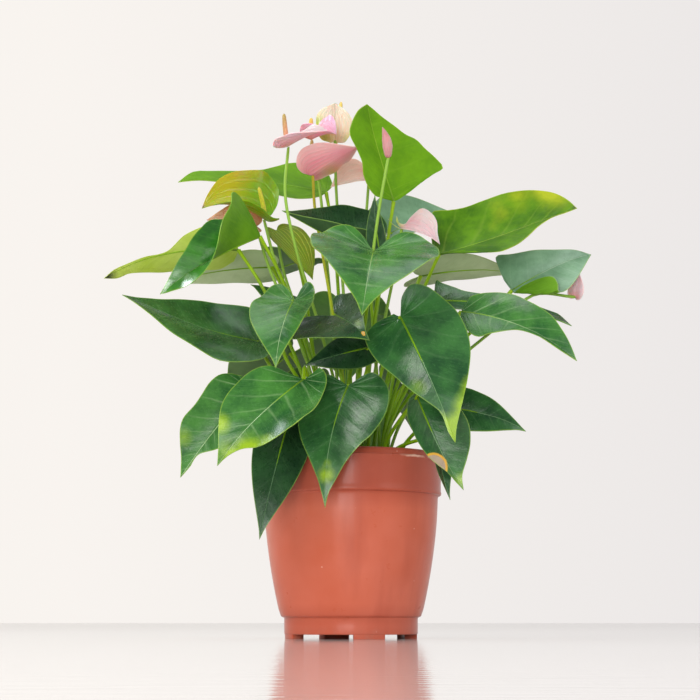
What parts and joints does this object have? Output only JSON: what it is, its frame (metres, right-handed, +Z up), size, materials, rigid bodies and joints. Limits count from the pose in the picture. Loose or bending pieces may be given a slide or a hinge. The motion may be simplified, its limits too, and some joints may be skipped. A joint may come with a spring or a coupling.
{
  "type": "potted anthurium",
  "caption": "Flowering anthurium with glossy heart-shaped leaves and pink spathes, growing in soil in a round tapered plastic nursery pot on low feet.",
  "frame": {"origin": "on the pot's axis at floor level, under the plant", "axes": "+Z up along the pot's axis, -Y to the front of the picture, +X to its right"},
  "size_m": [0.4364, 0.3275, 0.5052],
  "materials": {
    "pot": "terracotta-coloured moulded plastic, satin gloss",
    "soil": "dark loose peat, matt",
    "leaf": "dark green, glossy",
    "leaf_fresh": "bright yellow-green, glossy",
    "stalk": "light yellow-green, satin",
    "spathe": "pink, glossy",
    "spathe_cream": "cream pink, glossy",
    "spathe_old": "yellow-green, glossy",
    "spadix": "coral, fine-grained matt",
    "spadix_yellow": "yellow, fine-grained matt"
  },
  "bodies": {
    "root": {"pot": "pot", "soil": "soil", "leaf_front_heart": "leaf", "leaf_front_right": "leaf", "leaf_left_near": "leaf", "leaf_left_long": "leaf", "leaf_left_low": "leaf", "leaf_left_outer": "leaf", "leaf_front_low": "leaf", "leaf_low_dark": "leaf", "leaf_centre_dark": "leaf", "leaf_under_dark": "leaf", "leaf_right_low": "leaf", "leaf_right_low_small": "leaf", "leaf_right_outer": "leaf", "leaf_right_middle": "leaf", "leaf_right_drooping": "leaf", "leaf_right_bright": "leaf_fresh", "leaf_right_blue": "leaf", "leaf_right_pale": "leaf_fresh", "leaf_top_bright": "leaf_fresh", "leaf_top_left": "leaf_fresh", "leaf_left_glossy": "leaf", "leaf_left_yellow": "leaf_fresh", "leaf_left_pale": "leaf_fresh", "leaf_left_hidden": "leaf", "leaf_top_boat": "leaf", "leaf_centre_narrow": "leaf", "leaf_right_back": "leaf", "leaves_back_left": "leaf", "leaves_back_middle": "leaf", "leaves_back_right": "leaf", "bloom_left_stalk": "stalk", "bloom_left_spathe": "spathe", "bloom_left_spadix": "spadix", "bloom_behind_stalk": "stalk", "bloom_behind_spathe": "spathe", "bloom_behind_spadix": "spadix_yellow", "bloom_middle_stalk": "stalk", "bloom_middle_spathe": "spathe", "bloom_middle_spadix": "spadix", "bloom_ribbed_stalk": "stalk", "bloom_ribbed_spathe": "spathe_cream", "bloom_ribbed_spadix": "spadix_yellow", "bloom_hood_stalk": "stalk", "bloom_hood_spathe": "spathe_old", "bloom_hood_spadix": "spadix_yellow", "bloom_salmon_stalk": "stalk", "bloom_salmon_spathe": "spathe_cream", "bloom_brown_stalk": "stalk", "bloom_brown_spathe": "spathe_cream", "bloom_drooping_stalk": "stalk", "bloom_drooping_spathe": "spathe_old", "bloom_right_stalk": "stalk", "bloom_right_spathe": "spathe", "bloom_bud_stalk": "stalk", "bloom_bud_bud": "spathe", "bloom_far_right_stalk": "stalk", "bloom_far_right_spathe": "spathe"}
  },
  "joints": []
}
